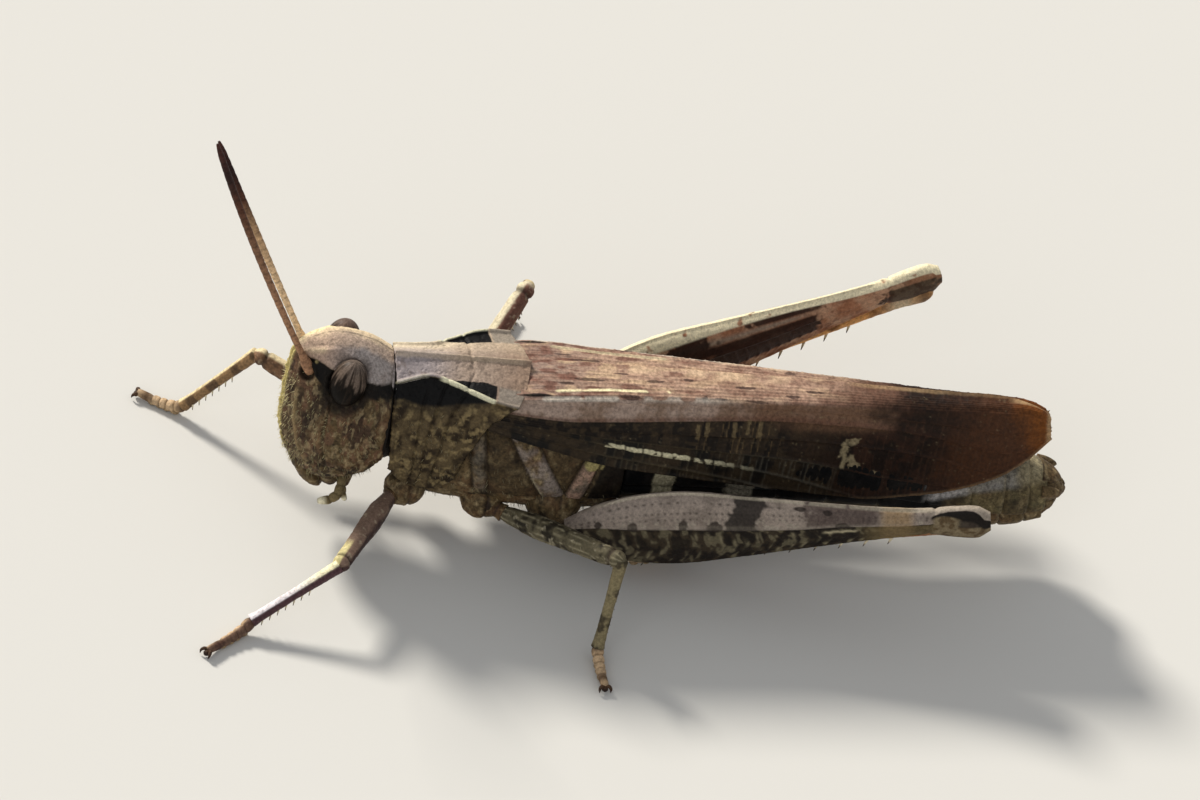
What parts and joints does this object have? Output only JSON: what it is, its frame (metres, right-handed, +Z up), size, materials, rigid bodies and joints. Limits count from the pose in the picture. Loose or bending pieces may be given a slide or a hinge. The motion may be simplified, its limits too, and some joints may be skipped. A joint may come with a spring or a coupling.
{
  "type": "grasshopper",
  "caption": "Life-size still model of a brown and grey field grasshopper at rest, wings folded and hind legs drawn up.",
  "frame": {"origin": "middle of the underside of the whole insect's box, on the floor that the feet stand on", "axes": "+X from the head to the tail, +Y to the insect's right, +Z up"},
  "size_m": [0.0266, 0.0156, 0.0125],
  "materials": {
    "shell": "satin, granular cuticle, olive brown",
    "pronotum": "satin, pitted cuticle, lilac grey and brown with black and cream marks",
    "eye": "glossy",
    "antenna": "satin",
    "femur": "satin, banded grey brown",
    "tibia": "satin, reddish brown",
    "abdomen": "satin, olive grey and black",
    "wing": "dull, veined, leathery fore wing"
  },
  "bodies": {
    "root": {"head": "shell", "eye_left": "eye", "eye_right": "eye", "mouthparts": "shell", "antenna_left": "antenna", "antenna_right": "antenna", "pronotum": "pronotum", "coxa_front_left": "shell", "femur_front_left": "femur", "tibia_front_left": "tibia", "tarsus_front_left": "tibia", "coxa_front_right": "shell", "femur_front_right": "femur", "tibia_front_right": "tibia", "tarsus_front_right": "tibia", "coxa_middle_left": "shell", "femur_middle_left": "femur", "tibia_middle_left": "tibia", "tarsus_middle_left": "tibia", "coxa_middle_right": "shell", "femur_middle_right": "femur", "tibia_middle_right": "tibia", "tarsus_middle_right": "tibia", "coxa_hind_left": "shell", "femur_hind_left": "femur", "tibia_hind_left": "tibia", "tarsus_hind_left": "tibia", "coxa_hind_right": "shell", "femur_hind_right": "femur", "tibia_hind_right": "tibia", "tarsus_hind_right": "tibia", "thorax": "shell", "abdomen": "abdomen", "abdomen_tip": "abdomen", "tegmen_left": "wing", "tegmen_right": "wing"}
  },
  "joints": []
}
